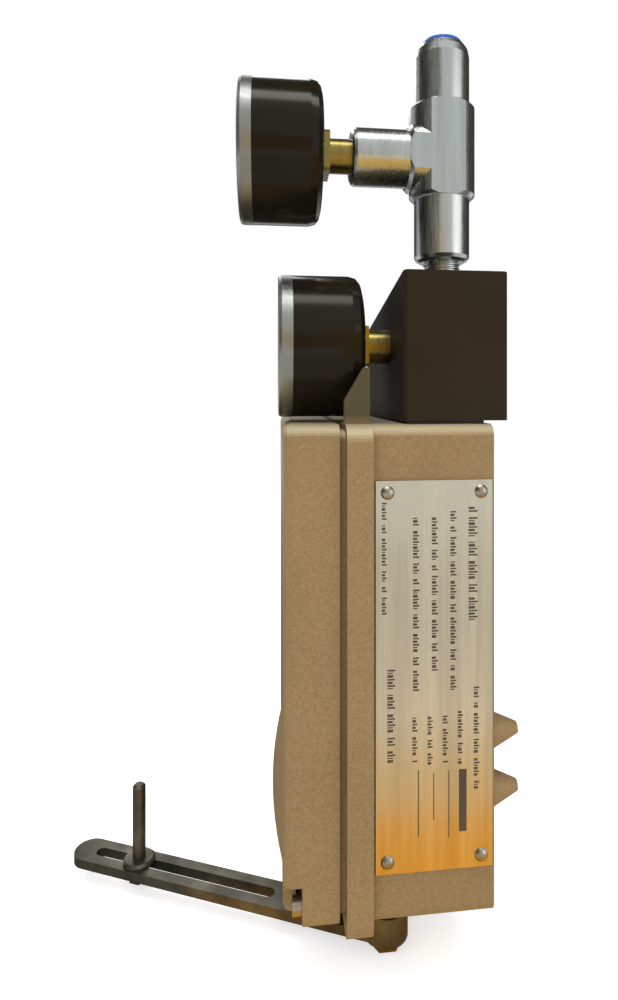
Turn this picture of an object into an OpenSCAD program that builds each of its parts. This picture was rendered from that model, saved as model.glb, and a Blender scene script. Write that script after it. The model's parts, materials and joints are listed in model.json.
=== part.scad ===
// Pneumatic valve positioner with feedback lever, gauge block, tee and two gauges.
// Frame: origin in the middle of the rear mounting face, +X out of the back, +Z up.
// The cover and the gauge dials face -X and the nameplate side faces -Y.

/* [Housing] */
// Width of the housing across the cover
body_w = 110; // [104:1:124]
// Height of the housing
body_h = 152; // [150:1:160]
// Depth of the housing behind the flange
body_d = 38; // [38:0.5:44]
// Wall of the housing and the cover
wall = 4; // [3.4:0.1:4.4]
// Corner radius of the housing outline
corner_r = 4; // [3:0.5:5]
// Thickness of the parting flange
flange_t = 8; // [7:0.5:9]
// How far the flange stands proud of the sides
flange_lip = 2.4; // [1.6:0.1:3]
// How far the flange stands proud of the bottom
flange_foot = 4.4; // [3:0.1:5]
// Height of the ears above the housing
ear_rise = 17.6; // [14:0.2:18]
// Distance of the ears from the housing's sides
ear_inset = 6; // [4:0.2:8]
// Thickness of the ears
ear_t = 3.2; // [2.6:0.1:3.4]
// Reach of the rear cones
cone_h = 10.2; // [9:0.2:13]
// Base radius of the rear cones
cone_r = 6.4; // [5.6:0.2:8]
// Spacing of the rear cones
cone_pitch = 18.6; // [17:0.2:22]
// Height of the cones' middle from the housing bottom
cone_rise = 44; // [38:0.5:48]

/* [Cover] */
// Depth of the cover in front of the flange
cover_d = 19; // [18:0.5:22]
// Width of the shadow groove behind the cover
groove_w = 2; // [1.5:0.1:2.4]
// Depth of the shadow groove
groove_depth = 2; // [1:0.1:2.4]
// Rounding of the cover's front edge
cover_edge = 3; // [2:0.1:3.4]
// Radius of the round dome on the cover
dome_r = 23; // [20:0.5:25]
// Height of the dome
dome_h = 3.2; // [2:0.1:4]
// Depth of the screw pockets
pocket_d = 5.8; // [5:0.1:7]
// Width of the screw pockets
pocket_w = 9; // [8.4:0.1:10]
// Height of the screw pockets
pocket_h = 13.6; // [12:0.1:15]
// Diameter of the cover screws
cover_screw_d = 4; // [3:0.1:4.4]
// Head diameter of the cover screws
cover_screw_head = 5.6; // [5:0.1:6.4]

/* [Nameplate] */
// Length of the nameplate
plate_h = 119; // [100:1:124]
// Gap from the nameplate to the flange and to the rear edge
plate_gap = 0.8; // [0.4:0.1:2]
// Height of the nameplate's lower edge above the housing bottom
plate_low = 16; // [12:0.5:20]
// Thickness of the nameplate
plate_t = 0.8; // [0.5:0.1:1.2]
// Head diameter of the rivets
rivet_d = 4.2; // [3.4:0.1:5]

/* [Gauge block] */
// Distance of the block's front from the flange
block_setback = 10.2; // [9:0.2:12]
// Size of the block across the housing
block_y = 82; // [78:1:88]
// Height of the block at its tall side
block_h = 47; // [45:0.5:50]
// Fall of the block's sloped top
block_fall = 12; // [8:0.5:14]
// Thickness of the seal under the block
seal_t = 1; // [0.6:0.1:1.6]
// Overhang of the block past the housing back
block_overhang = 5.6; // [4:0.2:7]
// Edge chamfer of the block
block_edge = 1; // [0.4:0.1:1.4]

/* [Gauges] */
// Diameter of the gauge cases
gauge_d = 49; // [46:0.5:49.5]
// Depth of a gauge over its bezel
gauge_t = 28; // [26:0.5:29]
// Depth of the bezel ring
bezel_t = 4.7; // [4:0.1:6]
// Neck length between case and port
neck_l = 10.6; // [10:0.1:12]
// Diameter of the gauge neck
neck_d = 12; // [11:0.1:13]
// Wrench flats on the gauge stem
flats = 14; // [12:0.2:15]

/* [Tee] */
// Diameter of the tee's run
tee_d = 19.8; // [19.2:0.2:20]
// Diameter of the tee's branch
branch_d = 20; // [19:0.2:20]
// Diameter of the forged body
tee_body = 23.6; // [22.6:0.2:24.4]
// Width across the forged flats
tee_flat = 20.2; // [20.1:0.1:21]
// Height from the block to the branch
tee_rise = 45.5; // [43:0.5:48]
// Length of the lower leg
leg_low = 37; // [36:0.2:38]
// Length of the upper leg
leg_high = 40.5; // [38:0.5:43]
// Length of the branch
branch_l = 33.3; // [32:0.1:35]
// Thread diameter of the ports
port_d = 11.4; // [11:0.1:12]
// Head diameter of the inlet plug
plug_d = 15.2; // [14:0.2:15.6]
// Head height of the inlet plug
plug_t = 2.6; // [2:0.2:4]

/* [Lever] */
// Length of the lever from its pivot to its tip
lever_l = 122; // [118:0.5:128]
// Width of the lever
lever_w = 12; // [11:0.2:14]
// Radius of the lever's pivot end
eye_r = 7.4; // [7.1:0.1:8.4]
// Thickness of the lever
lever_t = 3.4; // [2.8:0.1:4]
// Gap between the housing bottom and the lever
lever_drop = 12.4; // [11.6:0.2:15]
// Direction of the lever at rest, from the front
lever_angle = 24.1; // [20:0.1:30]
// Width of the lever's slot
slot_w = 4.2; // [4:0.1:5]
// Start of the slot from the pivot
slot_start = 42; // [38:1:46]
// Metal left at the tip beyond the slot
slot_margin = 9; // [8:0.2:12]
// Distance of the follower pin from the pivot
pin_at = 94.6; // [92:0.2:97]
// Diameter of the follower pin
pin_d = 4.6; // [4:0.1:5]
// Diameter of the pin's flange on the lever
pin_flange_d = 11.6; // [9:0.2:12]
// Height of the follower pin above the lever
pin_h = 28.6; // [22:0.2:31]
// Diameter of the lever shaft
shaft_d = 8; // [7:0.2:8.6]

/* [Mechanism] */
// Distance of the shaft from the nameplate side
shaft_inset = 17; // [16:0.2:18]
// Distance of the shaft behind the flange
shaft_lead = 6.7; // [5:0.1:8]
// Length of the feedback arm
arm_l = 12.3; // [11:0.1:13]
// Width of the balance beam
beam_w = 10; // [9:0.2:11]
// Thickness of the balance beam
beam_t = 3; // [2.4:0.1:3.4]
// Outer diameter of the range spring
spring_d = 7; // [6:0.2:8]
// Wire diameter of the range spring
spring_wire = 0.9; // [0.7:0.1:1]
// Diameter of the signal diaphragm capsule
capsule_d = 36; // [32:0.5:37]
// Diameter of the adjuster screws
adjuster_d = 6; // [5:0.2:7]

/* [Mounts] */
// Spacing of the rear tapped holes
mount_pitch = 50; // [46:1:56]
// Tapping diameter of the rear holes
mount_d = 6.8; // [6:0.1:8.5]
// Depth of the rear holes
mount_depth = 12; // [11:0.5:13]

/* [Hidden] */
$fn = 64;

// Small sizes and clearances
eps = 0.02;
run_gap = 0.05;
cut = 1;
air = 0.3;

// Places along X, from the rear face towards the front
flange_x = -body_d;
part_x = flange_x - flange_t;
front_x = part_x - cover_d;

// Places along Y and Z
near_y = -body_w / 2;
top_z = body_h / 2;
low_z = -body_h / 2;

// Cavity of the housing
corner_step = 1;
cav_back = -wall;
cav_y = body_w / 2 - wall;
cav_z = body_h / 2 - wall;

// Cover screws in their pockets
screw_y = body_w / 2 - pocket_w / 2;
screw_rise = 5.3;
screw_z = low_z + screw_rise;
screw_head_t = 3;
screw_slot_w = 1.2;
screw_bite = 10;
post_grow = 2;
post_w = pocket_w + post_grow;
post_h = pocket_h + post_grow;
post_depth = 16;
post_back = part_x + post_depth;

// Round dome on the cover
dome_side = 4;
dome_low = 8;
dome_y = near_y + dome_r + dome_side;
dome_z = low_z + dome_r + dome_low;
dome_ball = (dome_r * dome_r + dome_h * dome_h) / (2 * dome_h);

// Rear cones, near the nameplate side
cone_side = 2;
cone_inset = cone_r + cone_side;
cone_z = low_z + cone_rise;
cone_tip_r = 1.9;

// Nameplate on the near side, between the flange and the rear edge
plate_x = -body_d / 2;
plate_w = body_d - 2 * plate_gap;
plate_z = low_z + plate_low + plate_h / 2;
rivet_edge = 3.6;
rivet_shank = 1.9;

// Gauge block
block_inset = 3;
block_back = block_overhang;
block_front = flange_x + block_setback;
block_x = block_back - block_front;
block_near = near_y + block_inset;
block_low = top_z + seal_t;
block_top = block_low + block_h;
block_mid_x = block_back - block_x / 2;

// Tee above the block
tee_shift = 3.4;
tee_inset = 35;
tee_x = block_mid_x + tee_shift;
tee_y = near_y + tee_inset;
tee_z = block_top + tee_rise;
tee_low = tee_z - leg_low;
tee_high = tee_z + leg_high;
nipple_d = port_d + 1.8;
port_clear = 0.03;
tee_bore = 7;
tee_thread = 12;
tee_flat_low = 14.4;
tee_flat_high = 19;
tee_flat_side = 13.2;
tee_edge = 1.2;
leg_edge = 2;
rim_edge = 1.6;
rim_slope = 4.4;
seat_depth = 2.4;
seat_grow = 5;
seat_z = block_top - block_fall * (tee_y - block_near) / block_y - seat_depth;
nipple_depth = 12;

// Gauges
gauge_r = gauge_d / 2;
case_wall = 1.6;
lens_t = 2;
dial_t = 0.8;
output_inset = 33;
output_gap = 1.4;
output_y = near_y + output_inset;
output_z = top_z + output_gap + gauge_r;
output_back = block_front - neck_l;
supply_port = tee_x - branch_l;
supply_back = supply_port - neck_l;
stem_thread = 9;

// Lever, shaft and pin
shaft_x = flange_x + shaft_lead;
shaft_y = near_y + shaft_inset;
lever_top = low_z - lever_drop;
lever_low = lever_top - lever_t;
tip_r = lever_w / 2;
slot_end = lever_l - slot_margin - slot_w / 2;
hub_h = 6;
collar_t = 0.8;
boss_out = 1;
boss_low = low_z - boss_out;
hub_top = boss_low - collar_t;
boss_rise = 18;
boss_top = low_z + boss_rise;
boss_wall = 3;
bush_wall = 1.5;
bush_d = shaft_d + 2 * bush_wall;
bush_l = 8;
washer_t = 0.8;
nut_t = 2.2;
stub_out = 0.4;
arm_z = boss_top + 2;
arm_t = 4;

// Balance beam with its spring, flapper and nozzle
beam_y = 6;
beam_x = -22;
beam_low = arm_z - 3;
beam_high = 45;
pivot_z = -10;
pivot_d = 3;
spring_x = shaft_x + arm_l;
spring_z = arm_z + arm_t + spring_d / 2 + 0.6;
post_d = 3;
spring_turns = 11;
nozzle_z = 40;
nozzle_gap = 0.6;
flapper_t = 0.8;
flapper_d = 10;

// Signal capsule on the far wall
capsule_x = -25;
capsule_z = 22;
rod_d = 5;
rod_gap = 0.4;

// Booster on the rear wall
booster_gap = 2;
booster_w = 30;
booster_h = 44;
booster_y0 = near_y + wall + booster_gap;
booster_y1 = booster_y0 + booster_w;
booster_z0 = 0;
booster_z1 = booster_z0 + booster_h;
booster_front = -26;
booster_cap_t = 6;

// Adjuster places
zero_y = 26;
zero_z = -48;
zero_boss = -16;

// Colours
tan_paint = [0.62, 0.53, 0.40];
black_anodised = [0.10, 0.08, 0.06];
steel = [0.66, 0.66, 0.66];
brass = [0.72, 0.56, 0.26];
bare_alloy = [0.68, 0.68, 0.70];

// A cylinder along +X, standing at x
module bar_x(x, d, l) {
  translate([x, 0, 0]) rotate([0, 90, 0]) cylinder(d = d, h = l);
}

// A cylinder along +Y
module bar_y(y, d, l) {
  translate([0, y, 0]) rotate([-90, 0, 0]) cylinder(d = d, h = l);
}

// A slab across X with round corners and a soft front edge, reaching from back to front along -X
module soft_slab(back, depth, w, h, r, edge) {
  layers = [[0, 0], [depth - edge, 0], [depth - edge * 0.4, edge * 0.18], [depth - edge * 0.1, edge * 0.56],
    [depth, edge]];
  hull()
    for (layer = layers, sy = [-1, 1], sz = [-1, 1])
      translate([back - layer[0] - 0.01, sy * (w / 2 - r), sz * (h / 2 - r)])
        rotate([0, 90, 0]) cylinder(r = max(r - layer[1], 0.2), h = 0.01, $fn = 32);
}

// A plain slab across X with round corners
module slab(back, depth, w, h, r) {
  translate([back - depth, 0, 0])
    rotate([90, 0, 90])
      linear_extrude(height = depth)
        hull()
          for (sy = [-1, 1], sz = [-1, 1])
            translate([sy * (w / 2 - r), sz * (h / 2 - r)]) circle(r = r, $fn = 32);
}

// Copies at both lower corners of the cover
module at_cover_screws() {
  for (sy = [-1, 1]) translate([0, sy * screw_y, screw_z]) children();
}

module corner_posts(front, depth) {
  for (sy = [-1, 1])
    translate([front, sy * (body_w / 2 - post_w / 2) - post_w / 2, low_z])
      cube([depth, post_w, post_h]);
}

// The two ears on the flange, sloped at their front
ear_root = 6;
ear_flat = 2;
ear_shoulder = ear_rise * 0.42;

module ears() {
  for (sy = [-1, 1])
    translate([0, sy * (body_w / 2 - ear_inset - ear_t / 2) + ear_t / 2, 0])
      rotate([90, 0, 0])
        linear_extrude(height = ear_t)
          polygon([[part_x, top_z - ear_root], [flange_x, top_z - ear_root], [flange_x, top_z + ear_rise],
            [flange_x - ear_flat, top_z + ear_rise], [part_x, top_z + ear_shoulder]]);
}

// Bosses on the rear wall
boss_rim = 4;
boss_floor = 3;
mount_boss_d = mount_d + 2 * boss_rim;
mount_boss_l = mount_depth + boss_floor;
zero_boss_d = adjuster_d + 2 * boss_rim;
adjuster_bore = adjuster_d + 2 * run_gap;
adjuster_depth = 10;

module housing() {
  color(tan_paint)
  difference() {
    union() {
      shell();
      ears();
      flange();
      for (sz = [-1, 1])
        translate([0, 0, sz * mount_pitch / 2]) bar_x(-mount_boss_l, mount_boss_d, mount_boss_l - eps);
      for (side = [-1, 1])
        translate([0, near_y + cone_inset, cone_z + side * cone_pitch / 2])
          rotate([0, 90, 0]) cylinder(h = cone_h, r1 = cone_r, r2 = cone_tip_r);
      translate([shaft_x, shaft_y, boss_low]) cylinder(d = bush_d + 2 * boss_wall, h = boss_top - boss_low);
      intersection() {
        corner_posts(part_x, post_back - part_x);
        slab(0, body_d + flange_t, body_w, body_h, corner_r);
      }
      translate([0, zero_y, zero_z]) bar_x(zero_boss, zero_boss_d, -zero_boss - eps);
    }
    for (sz = [-1, 1])
      translate([0, 0, sz * mount_pitch / 2]) bar_x(-mount_depth, mount_d, mount_depth + cut);
    at_cover_screws() bar_x(part_x - cut, cover_screw_d, screw_bite + 2 * cut);
    translate([shaft_x, shaft_y, boss_low - cut]) cylinder(d = bush_d, h = boss_top - boss_low + 2 * cut);
    translate([0, zero_y, zero_z]) bar_x(zero_boss - cut, adjuster_bore, adjuster_depth + cut);
    vent_bore();
    for (q = block_bolts)
      translate([q[0], q[1], top_z - wall - cut]) cylinder(d = block_bolt_d, h = wall + 2 * cut);
    for (q = block_ports)
      translate([q[0], q[1], top_z - wall - cut]) cylinder(d = port_bore, h = wall + 2 * cut);
  }
}

// The parting flange, proud of the sides and the bottom and flush with the top.
// Its foot is relieved where the lever's neck comes near.
module flange() {
  difference() {
    translate([0, 0, -flange_foot / 2])
      slab(flange_x, flange_t, body_w + 2 * flange_lip, body_h + flange_foot, corner_r + flange_lip);
    slab(flange_x + cut, flange_t + 2 * cut, 2 * cav_y, 2 * cav_z, corner_r - corner_step);
    translate([shaft_x, shaft_y, low_z - flange_foot - cut])
      cylinder(d = collar_d + 2 * air, h = boss_low - low_z + flange_foot + cut);
  }
}

// The open box of the housing
module shell() {
  difference() {
    slab(0, body_d + flange_t, body_w, body_h, corner_r);
    slab(cav_back, body_d + flange_t, 2 * cav_y, 2 * cav_z, corner_r - corner_step);
  }
}

// Bolts and air passages between the block and the housing
block_bolt_d = 5;
bolt_clear = 0.5;
bolt_head_rim = 1.75;
bolt_head_d = block_bolt_d + 2 * bolt_head_rim;
bolt_head_t = 5;
bolt_sink_rim = 2.5;
bolt_sink_d = block_bolt_d + 2 * bolt_sink_rim;
bolt_seat = 14;
bolt_key = 4.6;
bolt_back = 12.7;
first_bolt = 48;
last_bolt = 74;
bolt_x = block_front + bolt_back;
block_bolts = [[bolt_x, block_near + first_bolt], [bolt_x, block_near + last_bolt]];
port_bore = 5;
output_port_back = 7;
output_port_x = block_front + output_port_back;
block_ports = [[tee_x, tee_y], [output_port_x, output_y]];

// Vent plug in the bottom
vent_x = -19;
vent_y = 30;
vent_d = 12;
vent_hex = vent_d + 5;
vent_head = 5;
vent_bore_d = 5;
vent_slit = 1.8;

module vent_bore() {
  translate([vent_x, vent_y, low_z - cut]) cylinder(d = vent_d, h = wall + 2 * cut);
}

module vent_plug() {
  color(brass)
  translate([vent_x, vent_y, low_z])
  difference() {
    union() {
      translate([0, 0, -vent_head]) cylinder(d = vent_hex, h = vent_head, $fn = 6);
      translate([0, 0, -eps]) cylinder(d = vent_d, h = wall + cut);
    }
    translate([0, 0, -vent_head - cut]) cylinder(d = vent_bore_d, h = vent_head + wall + cut);
    for (a = [0, 120, 240])
      translate([0, 0, -vent_head / 2]) rotate([90, 0, a]) cylinder(d = vent_slit, h = vent_d);
  }
}

// Hooks at the cover's top that catch behind the flange
hook_y = 30;
hook_w = 16;
hook_t = 2.5;
hook_l = 4;

module cover() {
  color(tan_paint)
  difference() {
    union() {
      difference() {
        union() {
          soft_slab(part_x - groove_w, cover_d - groove_w, body_w, body_h, corner_r, cover_edge);
          slab(part_x, groove_w + cut, body_w - 2 * groove_depth, body_h - 2 * groove_depth, corner_r - corner_step);
        }
        slab(part_x + cut, cover_d - wall + cut, 2 * cav_y, 2 * cav_z, corner_r - corner_step);
      }
      intersection() {
        translate([front_x - dome_h + dome_ball, dome_y, dome_z]) sphere(r = dome_ball, $fn = 128);
        translate([0, dome_y, dome_z]) bar_x(front_x - dome_h - cut, 2 * dome_r, dome_h + 2 * cut);
      }
      intersection() {
        corner_posts(front_x + pocket_d, cover_d - pocket_d);
        slab(part_x, cover_d, body_w - 2 * groove_depth, body_h - 2 * groove_depth, corner_r);
      }
      for (sy = [-1, 1])
        translate([0, sy * hook_y - hook_w / 2, cav_z - air - hook_t]) {
          translate([part_x - hook_l, 0, 0]) cube([2 * hook_l, hook_w, hook_t]);
          translate([part_x - 2 * hook_l, 0, 0]) cube([hook_l + eps, hook_w, hook_t + 2 * air]);
        }
    }
    for (sy = [-1, 1])
      translate([front_x - cut, sy * screw_y - pocket_w / 2 - (sy < 0 ? cut : 0), low_z - cut])
        cube([pocket_d + cut, pocket_w + cut, pocket_h + cut]);
    at_cover_screws() bar_x(front_x, cover_screw_d + 2 * run_gap, cover_d + cut);
    gasket_ring(0);
  }
}

// Seal cord in the cover's rim, seated on the flange
gasket_t = 1.6;
gasket_w = 1.4;
gasket_clear = 0.05;
gasket_eyelet = 3;

module gasket_ring(gap) {
  inset = groove_depth + (wall - groove_depth) / 2 - gasket_w / 2 + gap;
  grow = gasket_w - 2 * gap;
  difference() {
    slab(part_x, gasket_t, body_w - 2 * inset, body_h - 2 * inset, corner_r - corner_step);
    slab(part_x + cut, gasket_t + 2 * cut,
      body_w - 2 * (inset + grow), body_h - 2 * (inset + grow), corner_r - 2 * corner_step);
    at_cover_screws() bar_x(part_x - gasket_t - cut, cover_screw_d + gasket_eyelet, gasket_t + 2 * cut);
  }
}

module cover_gasket() {
  color([0.08, 0.08, 0.08]) gasket_ring(gasket_clear);
}

module cover_screws() {
  head_x = front_x + pocket_d - screw_head_t;
  color(steel)
  at_cover_screws()
  difference() {
    union() {
      bar_x(head_x, cover_screw_head, screw_head_t);
      bar_x(head_x + screw_head_t - eps, cover_screw_d - 2 * run_gap, cover_d - pocket_d + screw_bite);
    }
    translate([head_x - cut, -screw_slot_w / 2, -cover_screw_head])
      cube([screw_slot_w + cut, screw_slot_w, 2 * cover_screw_head]);
  }
}

module at_rivets() {
  for (sx = [-1, 1], sz = [-1, 1])
    translate([plate_x + sx * (plate_w / 2 - rivet_edge), near_y, plate_z + sz * (plate_h / 2 - rivet_edge)])
      children();
}

module nameplate() {
  color([0.74, 0.73, 0.70])
  difference() {
    translate([plate_x - plate_w / 2, near_y - plate_t, plate_z - plate_h / 2])
      cube([plate_w, plate_t, plate_h]);
    at_rivets() bar_y(-plate_t - cut, rivet_shank + 2 * run_gap, plate_t + 2 * cut);
  }
}

module nameplate_rivets() {
  color(steel)
  at_rivets() {
    intersection() {
      translate([0, -plate_t + rivet_d * 0.3, 0]) sphere(d = rivet_d * 1.2);
      bar_y(-plate_t - rivet_d, rivet_d, rivet_d);
    }
    bar_y(-plate_t - eps, rivet_shank, plate_t + eps);
  }
}

// Side outline of the block, in Y and Z: tall at the near side, with a sloped top
module block_profile() {
  polygon([[block_near, block_low], [block_near + block_y, block_low],
    [block_near + block_y, block_top - block_fall], [block_near, block_top]]);
}

// Shaves the near upright edges of the block
module block_edges() {
  for (x = [block_front, block_back])
    translate([x, block_near, block_low])
      rotate([0, 0, 45]) cube([block_edge * sqrt(2), block_edge * sqrt(2), 3 * block_h], center = true);
}

module gauge_block() {
  color(black_anodised)
  difference() {
    translate([block_front, 0, 0]) rotate([90, 0, 90]) linear_extrude(height = block_x) block_profile();
    translate([tee_x, tee_y, seat_z - nipple_depth - cut]) cylinder(d = nipple_d, h = 2 * nipple_depth);
    translate([tee_x, tee_y, seat_z]) cylinder(d = nipple_d + seat_grow, h = block_h);
    translate([0, output_y, output_z]) bar_x(block_front - cut, neck_d, stem_thread + 1.5 * cut);
    translate([tee_x, tee_y, block_low - cut]) cylinder(d = port_bore, h = seat_z - block_low);
    translate([output_port_x, output_y, block_low - cut]) cylinder(d = port_bore, h = output_z - block_low);
    for (q = block_bolts) {
      translate([q[0], q[1], block_low - cut]) cylinder(d = block_bolt_d + bolt_clear, h = block_h);
      translate([q[0], q[1], block_low + bolt_seat]) cylinder(d = bolt_sink_d, h = block_h);
    }
    block_edges();
  }
}

seal_edge = 1;
seal_back = 2;

module block_seal() {
  color([0.1, 0.1, 0.1])
  difference() {
    translate([block_front + seal_edge, block_near + seal_edge, top_z])
      cube([-block_front - seal_edge - seal_back, block_y - 2 * seal_edge, seal_t]);
    for (q = block_ports) translate([q[0], q[1], top_z - cut]) cylinder(d = port_bore, h = seal_t + 2 * cut);
    for (q = block_bolts)
      translate([q[0], q[1], top_z - cut]) cylinder(d = block_bolt_d + bolt_clear, h = seal_t + 2 * cut);
  }
}

module block_screws() {
  shank_l = block_low - top_z + wall + bolt_seat;
  color(steel)
  for (q = block_bolts)
    translate([q[0], q[1], block_low + bolt_seat])
    difference() {
      union() {
        cylinder(d = bolt_head_d, h = bolt_head_t);
        translate([0, 0, -shank_l]) cylinder(d = block_bolt_d - 2 * run_gap, h = shank_l + eps);
      }
      translate([0, 0, bolt_head_t / 2]) cylinder(d = bolt_key, h = bolt_head_t, $fn = 6);
    }
}

// One round leg with a sloped end, along +Z
module tee_leg(d, l, edge, slope) {
  rotate_extrude()
    polygon([[0, 0], [d / 2, 0], [d / 2, l - slope], [d / 2 - edge * 0.3, l - slope * 0.4],
      [d / 2 - edge, l], [0, l]]);
}

// A round bar with shaved shoulders, along +Z
module shouldered_bar(d, l) {
  rotate_extrude()
    polygon([[0, 0], [d / 2 - tee_edge, 0], [d / 2, tee_edge],
      [d / 2, l - tee_edge], [d / 2 - tee_edge, l], [0, l]]);
}

// Forged middle: two crossing bars with a flat on both sides
module tee_middle() {
  intersection() {
    union() {
      translate([0, 0, -tee_flat_low]) shouldered_bar(tee_body, tee_flat_low + tee_flat_high);
      rotate([0, -90, 0]) shouldered_bar(tee_body, tee_flat_side);
    }
    cube([4 * tee_body, tee_flat, 4 * tee_body], center = true);
  }
}

module tee_fitting() {
  color(steel)
  translate([tee_x, tee_y, tee_z])
  difference() {
    union() {
      tee_leg(tee_d, leg_high, rim_edge, rim_slope);
      rotate([180, 0, 0]) tee_leg(tee_d, leg_low, leg_edge, leg_edge);
      rotate([0, -90, 0]) tee_leg(branch_d, branch_l, rim_edge, rim_edge);
      tee_middle();
    }
    translate([0, 0, -leg_low - cut]) cylinder(d = nipple_d, h = tee_thread + cut);
    translate([0, 0, leg_high - tee_thread]) cylinder(d = port_d, h = tee_thread + cut);
    translate([0, 0, -leg_low]) cylinder(d = tee_bore, h = leg_low + leg_high);
    bar_x(-branch_l - cut, neck_d, stem_thread + 2.5 * cut);
    bar_x(-branch_l, tee_bore, branch_l);
  }
}

module tee_nipple() {
  nipple_l = tee_low - seat_z + nipple_depth + tee_thread - 1.5 * cut;
  color(steel)
  translate([tee_x, tee_y, seat_z - nipple_depth])
  difference() {
    cylinder(d = nipple_d - 2 * port_clear, h = nipple_l);
    translate([0, 0, -cut]) cylinder(d = tee_bore, h = nipple_l + 2 * cut);
  }
}

plug_reach = 9;
plug_dome = 1.1;

module inlet_plug() {
  color([0.10, 0.32, 0.66])
  translate([tee_x, tee_y, tee_high])
    rotate_extrude()
      polygon([[0, -plug_reach], [port_d / 2 - port_clear, -plug_reach],
        [port_d / 2 - port_clear, 0], [plug_d / 2, 0],
        [plug_d / 2, plug_t - 1.6 * plug_dome], [plug_d / 2 - 0.5 * plug_dome, plug_t - 0.8 * plug_dome],
        [plug_d / 2 - 1.6 * plug_dome, plug_t - 0.2 * plug_dome], [plug_d / 4, plug_t], [0, plug_t]]);
}

// Every gauge piece is drawn with its axis on X, its back at x = 0 and its dial facing -X
case_back = case_wall + 1;
case_round = 4.2;
case_step = 0.1;
bezel_lip = 2.6;
bezel_round = 1.2;
lens_seat = 1.2;
dial_drop = 5;
dial_hole = 4;
dial_z = gauge_t - bezel_t - dial_drop;

module gauge_case() {
  rotate([0, -90, 0])
  difference() {
    rotate_extrude()
      polygon([[0, 0], [gauge_r - case_round, 0], [gauge_r - case_round / 2, case_round * 0.13],
        [gauge_r - case_round / 6, case_round * 0.43], [gauge_r - case_step, case_round],
        [gauge_r - case_step, gauge_t - bezel_t], [gauge_r - case_wall, gauge_t - bezel_t],
        [gauge_r - case_wall, case_back], [0, case_back]]);
    translate([0, 0, -cut]) cylinder(d = neck_d, h = case_back + 2 * cut);
  }
}

module gauge_bezel() {
  rim_z = gauge_t - bezel_t;
  lip_z = rim_z + lens_t + lens_seat;
  rotate([0, -90, 0])
    rotate_extrude()
      polygon([[gauge_r - bezel_lip, lip_z], [gauge_r - case_wall, lip_z],
        [gauge_r - case_wall, rim_z], [gauge_r, rim_z],
        [gauge_r, gauge_t - bezel_round], [gauge_r - bezel_round / 3, gauge_t - bezel_round / 4],
        [gauge_r - bezel_round, gauge_t], [gauge_r - bezel_lip, gauge_t - bezel_round * 0.75]]);
}

module gauge_lens() {
  rotate([0, -90, 0])
    translate([0, 0, gauge_t - bezel_t + lens_seat]) cylinder(r = gauge_r - case_wall, h = lens_t);
}

module gauge_dial() {
  rotate([0, -90, 0])
    translate([0, 0, dial_z])
    difference() {
      cylinder(r = gauge_r - case_wall, h = dial_t);
      translate([0, 0, -cut]) cylinder(d = dial_hole, h = dial_t + 2 * cut);
    }
}

// Stem: threaded neck, wrench flats behind the case and the socket inside
flats_l = 2.8;
flats_gap = 0.2;
flats_edge = 1.2;
socket_l = 9;
socket_w = 10;
socket_h = 12;

module gauge_stem() {
  rotate([0, 90, 0]) {
    cylinder(d = neck_d - 2 * port_clear, h = neck_l + stem_thread);
    intersection() {
      translate([-flats / 2, -flats / 2, flats_gap]) cube([flats, flats, flats_l]);
      translate([0, 0, flats_gap]) cylinder(d = flats * sqrt(2) - flats_edge, h = flats_l);
    }
    translate([0, 0, -case_back - eps])
      cylinder(d = neck_d - 2 * port_clear, h = case_back + flats_gap + 2 * eps);
    translate([-socket_w / 2, -socket_h / 2, -case_back - socket_l]) cube([socket_w, socket_h, socket_l]);
  }
}

// Bourdon tube: a C of flat tube from the socket round to the movement
tube_r = 16;
tube_t = 2;
tube_w = 5;
tube_sweep = 250;
tube_lift = 2;

module gauge_tube() {
  rotate([0, -90, 0])
    translate([0, 0, case_back + tube_lift]) {
      rotate([0, 0, -90]) rotate_extrude(angle = tube_sweep) translate([tube_r, 0]) square([tube_t, tube_w]);
      translate([-tube_t / 2, -tube_r - tube_t, 0]) cube([tube_t, tube_r + tube_t - socket_h / 2, tube_w]);
    }
}

// Movement: a plate on the socket with the pinion arbor's bearing
plate_long = 16;
plate_wide = 14;
plate_thick = 2;
arbor_d = 2;
arbor_boss_d = 7;
arbor_boss_l = 4;

module gauge_movement() {
  rotate([0, -90, 0])
    translate([0, 0, case_back + socket_l])
    difference() {
      union() {
        translate([-plate_wide / 2, -plate_long / 2, 0]) cube([plate_wide, plate_long, plate_thick]);
        cylinder(d = arbor_boss_d, h = arbor_boss_l);
      }
      translate([0, 0, -cut]) cylinder(d = arbor_d + 2 * run_gap, h = arbor_boss_l + 2 * cut);
    }
}

// Pointer with its arbor, hub and tail; at rest it points to the zero mark, pointer_rest in the dial's plane
pointer_rest = 135;
pointer_l = 17;
pointer_tail = 7;
pointer_t = 0.7;
pointer_gap = 0.8;
pointer_root = 1.8;
pointer_tip = 0.4;
tail_w = 3.2;
hub_d = 5;
hub_t = 1.6;

module gauge_pointer() {
  needle_z = dial_z + dial_t + pointer_gap;
  arbor_z = case_back + socket_l + cut;
  rotate([0, -90, 0]) {
    translate([0, 0, arbor_z]) cylinder(d = arbor_d, h = needle_z - arbor_z + hub_t / 2);
    translate([0, 0, needle_z]) cylinder(d = hub_d, h = hub_t);
    rotate([0, 0, pointer_rest])
      translate([0, 0, needle_z + (hub_t - pointer_t) / 2])
        linear_extrude(height = pointer_t)
          polygon([[-pointer_tail, -tail_w / 2], [-pointer_tail, tail_w / 2], [0, pointer_root / 2],
            [pointer_l, pointer_tip / 2], [pointer_l, -pointer_tip / 2], [0, -pointer_root / 2]]);
  }
}

module supply_at() { translate([supply_back, tee_y, tee_z]) children(); }
module output_at() { translate([output_back, output_y, output_z]) children(); }

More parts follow.
